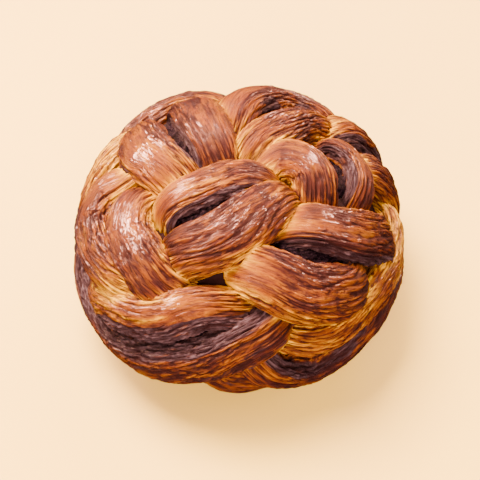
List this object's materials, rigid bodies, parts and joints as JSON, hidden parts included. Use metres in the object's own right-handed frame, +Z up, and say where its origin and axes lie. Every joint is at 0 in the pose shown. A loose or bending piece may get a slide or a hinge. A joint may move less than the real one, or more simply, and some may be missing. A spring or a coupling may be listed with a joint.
{
  "type": "knotted cinnamon roll",
  "caption": "Round baked roll of split, woven ropes of laminated dough with dark cinnamon filling in the slots, resting on its flat bottom.",
  "frame": {"origin": "on the flat bottom, under the middle of the roll", "axes": "+Z up through the domed top, and -Y towards the side that the ropes show best"},
  "size_m": [0.12, 0.1221, 0.0752],
  "materials": {
    "dough": "baked laminated crust, satin, golden to mahogany brown",
    "filling": "dark sticky cinnamon and sugar paste"
  },
  "bodies": {
    "root": {"dough": "dough", "filling_centre": "filling", "filling_north_west": "filling", "filling_north": "filling", "filling_east": "filling", "filling_south_east": "filling", "filling_west": "filling", "filling_side_south_west": "filling", "filling_side_south": "filling", "filling_side_east": "filling", "filling_side_north_east": "filling", "filling_side_north": "filling", "filling_side_west": "filling"}
  },
  "joints": []
}
